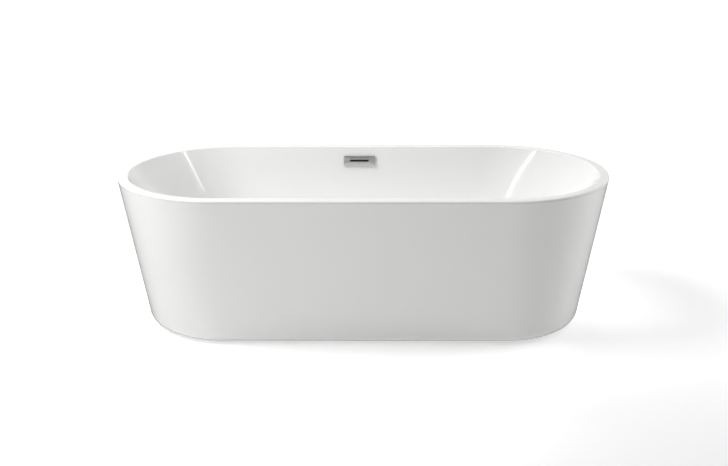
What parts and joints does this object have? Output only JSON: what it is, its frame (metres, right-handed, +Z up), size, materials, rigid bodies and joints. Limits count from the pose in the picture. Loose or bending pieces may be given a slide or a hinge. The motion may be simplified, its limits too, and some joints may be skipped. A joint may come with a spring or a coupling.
{
  "type": "freestanding bathtub",
  "caption": "Freestanding double-ended bathtub with a tapering one-piece skirt, pop-up waste, slotted overflow and screw feet on a steel frame.",
  "frame": {"origin": "on the floor, under the centre of the tub", "axes": "+X along the tub's length, +Y towards the long wall that carries the overflow, +Z up"},
  "size_m": [1.7, 0.75, 0.535],
  "materials": {
    "white_acrylic": "gloss",
    "resin_bond": "matt",
    "plywood": "raw",
    "zinc_steel": "zinc plated",
    "powder_coat": "satin powder coat",
    "black_rubber": "matt",
    "chromed_brass": "polished",
    "satin_steel": "satin",
    "grey_plastic": "satin",
    "white_plastic": "satin"
  },
  "bodies": {
    "tub": {"inner_basin": "white_acrylic", "outer_skirt": "white_acrylic", "rim_bond": "resin_bond", "skirt_bond_pad_1": "resin_bond", "skirt_bond_pad_2": "resin_bond", "skirt_bond_pad_3": "resin_bond", "skirt_bond_pad_4": "resin_bond", "base_board": "plywood", "frame_rail_front": "powder_coat", "frame_rail_back": "powder_coat", "end_rail_left": "powder_coat", "end_rail_right": "powder_coat", "mid_rail_left": "powder_coat", "mid_rail_right": "powder_coat", "board_screw_1": "zinc_steel", "board_screw_2": "zinc_steel", "board_screw_3": "zinc_steel", "board_screw_4": "zinc_steel", "foot_weld_nut_1": "zinc_steel", "foot_jam_nut_1": "zinc_steel", "foot_weld_nut_2": "zinc_steel", "foot_jam_nut_2": "zinc_steel", "foot_weld_nut_3": "zinc_steel", "foot_jam_nut_3": "zinc_steel", "foot_weld_nut_4": "zinc_steel", "foot_jam_nut_4": "zinc_steel", "overflow_screw_left": "zinc_steel", "overflow_screw_right": "zinc_steel", "hose_clamp_upper": "zinc_steel", "hose_clamp_lower": "zinc_steel", "flange_seal": "black_rubber", "lower_gasket": "black_rubber", "slip_washer": "black_rubber", "overflow_gasket": "black_rubber", "drain_flange": "chromed_brass", "overflow_carrier": "satin_steel", "overflow_plate": "satin_steel", "overflow_housing": "grey_plastic", "overflow_hose": "grey_plastic", "drain_locknut": "white_plastic", "drain_body": "white_plastic", "tailpiece": "white_plastic", "slip_nut": "white_plastic", "plug_guide": "white_plastic"},
    "plug": {"plug_cap": "chromed_brass", "plug_seal": "black_rubber", "plug_stem": "satin_steel"},
    "foot_1": {"foot_pad_1": "black_rubber"},
    "rod_1": {"foot_rod_1": "zinc_steel"},
    "foot_2": {"foot_pad_2": "black_rubber"},
    "rod_2": {"foot_rod_2": "zinc_steel"},
    "foot_3": {"foot_pad_3": "black_rubber"},
    "rod_3": {"foot_rod_3": "zinc_steel"},
    "foot_4": {"foot_pad_4": "black_rubber"},
    "rod_4": {"foot_rod_4": "zinc_steel"}
  },
  "joints": [
    {"name": "plug_lift", "type": "slide", "parent": "tub", "child": "plug", "axis": [0, 0, 1], "range_m": [0, 0.009]},
    {"name": "foot_1_travel", "type": "slide", "parent": "tub", "child": "foot_1", "axis": [0, 0, -1], "range_m": [-0.0053, 0.0141]},
    {"name": "rod_1_turn", "type": "hinge", "parent": "foot_1", "child": "rod_1", "pos_m": [-0.45, -0.21, 0], "axis": [0, 0, -1], "range_deg": [-1100, 2910]},
    {"name": "foot_2_travel", "type": "slide", "parent": "tub", "child": "foot_2", "axis": [0, 0, -1], "range_m": [-0.0053, 0.0141]},
    {"name": "rod_2_turn", "type": "hinge", "parent": "foot_2", "child": "rod_2", "pos_m": [-0.45, 0.21, 0], "axis": [0, 0, -1], "range_deg": [-1100, 2910]},
    {"name": "foot_3_travel", "type": "slide", "parent": "tub", "child": "foot_3", "axis": [0, 0, -1], "range_m": [-0.0053, 0.0141]},
    {"name": "rod_3_turn", "type": "hinge", "parent": "foot_3", "child": "rod_3", "pos_m": [0.45, -0.21, 0], "axis": [0, 0, -1], "range_deg": [-1100, 2910]},
    {"name": "foot_4_travel", "type": "slide", "parent": "tub", "child": "foot_4", "axis": [0, 0, -1], "range_m": [-0.0053, 0.0141]},
    {"name": "rod_4_turn", "type": "hinge", "parent": "foot_4", "child": "rod_4", "pos_m": [0.45, 0.21, 0], "axis": [0, 0, -1], "range_deg": [-1100, 2910]}
  ],
  "couplings": [
    {"joint": "rod_1_turn", "follows": "foot_1_travel", "rad_per_m": 3590.4},
    {"joint": "rod_2_turn", "follows": "foot_2_travel", "rad_per_m": 3590.4},
    {"joint": "rod_3_turn", "follows": "foot_3_travel", "rad_per_m": 3590.4},
    {"joint": "rod_4_turn", "follows": "foot_4_travel", "rad_per_m": 3590.4}
  ]
}
